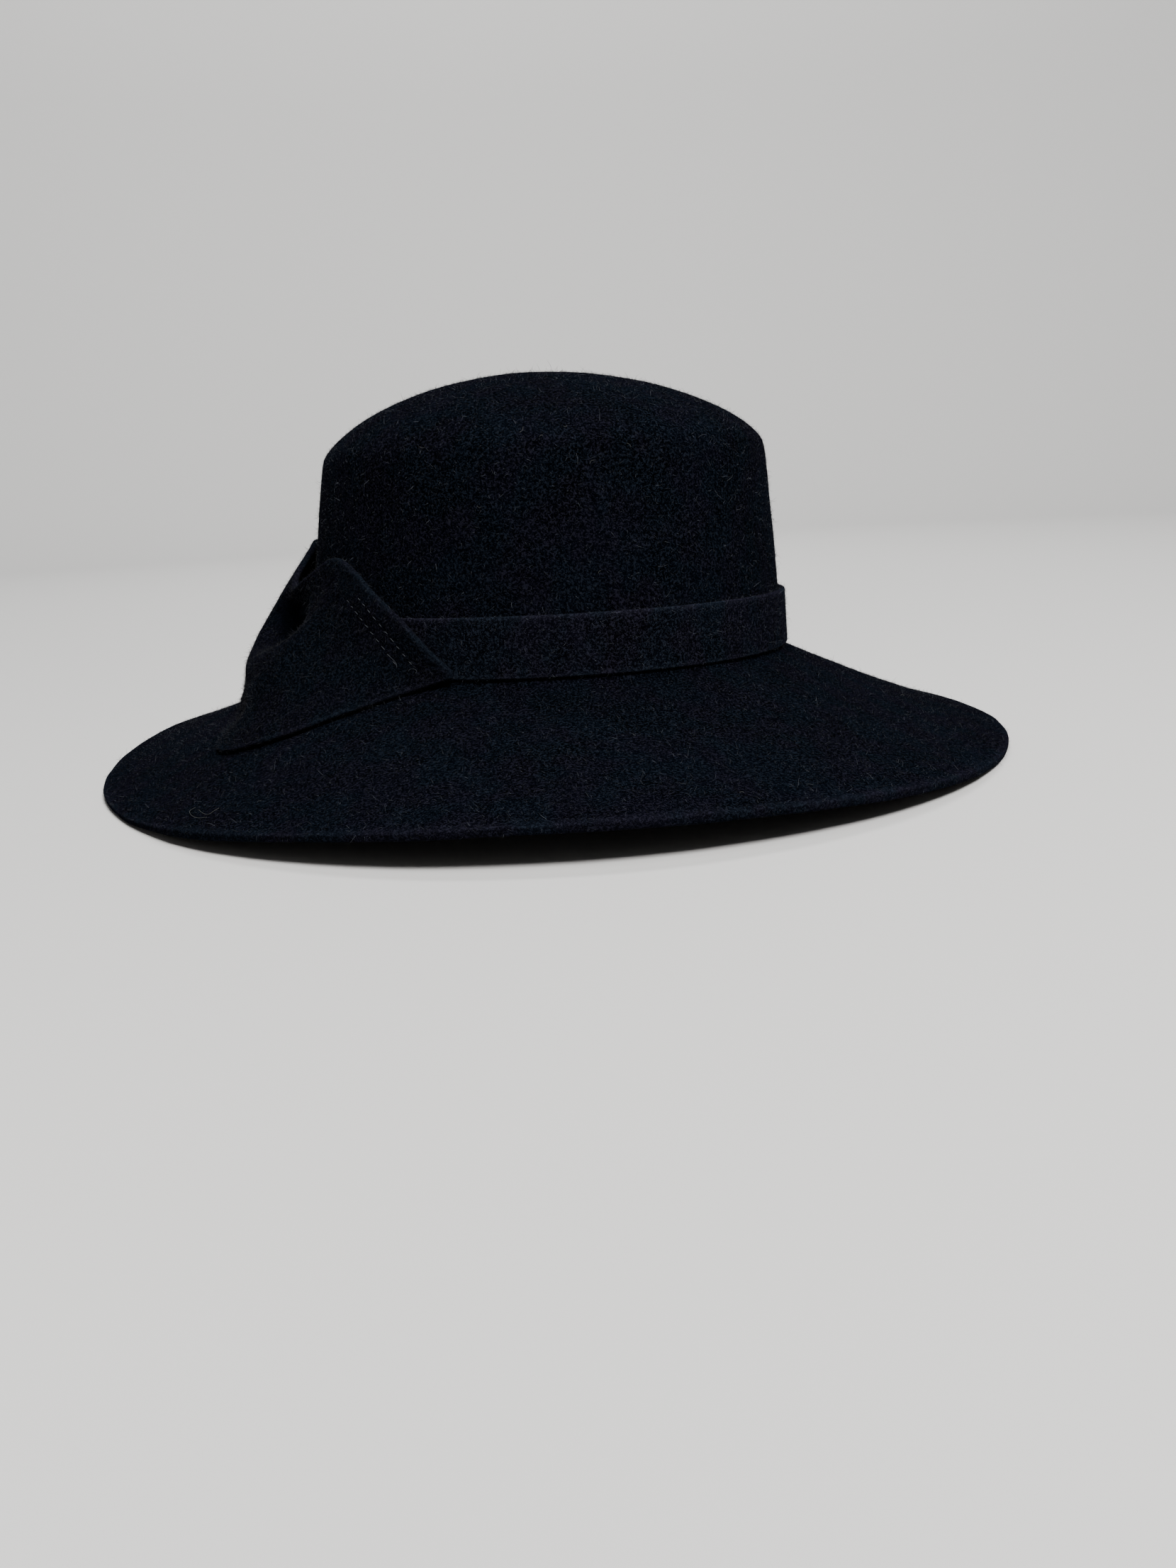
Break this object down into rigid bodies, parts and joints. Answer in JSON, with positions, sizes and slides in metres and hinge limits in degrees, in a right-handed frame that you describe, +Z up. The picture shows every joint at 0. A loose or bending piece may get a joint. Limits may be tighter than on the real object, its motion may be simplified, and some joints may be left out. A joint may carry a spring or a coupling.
{
  "type": "wide-brim felt hat with bow",
  "caption": "Wide-brimmed wool felt hat with a round, softly domed crown, a flat felt band and a large folded felt bow at the side.",
  "frame": {"origin": "on the surface that the rim rests on, under the middle of the hat's outline seen from above", "axes": "+Z up; -Y is the front, and the bow is on the -X side, turned a little to the front"},
  "size_m": [0.358, 0.3706, 0.1467],
  "materials": {
    "body_felt": "soft brushed wool felt, very dark navy black, matte with a faint cool sheen",
    "band_felt": "flat pressed wool felt, very dark navy black, matte, with lighter cut edges",
    "bow_felt": "flat pressed wool felt, very dark navy black, matte, with lighter cut edges and two rows of small stitches"
  },
  "bodies": {
    "root": {"felt_body": "body_felt", "hat_band": "band_felt", "bow": "bow_felt"}
  },
  "joints": []
}
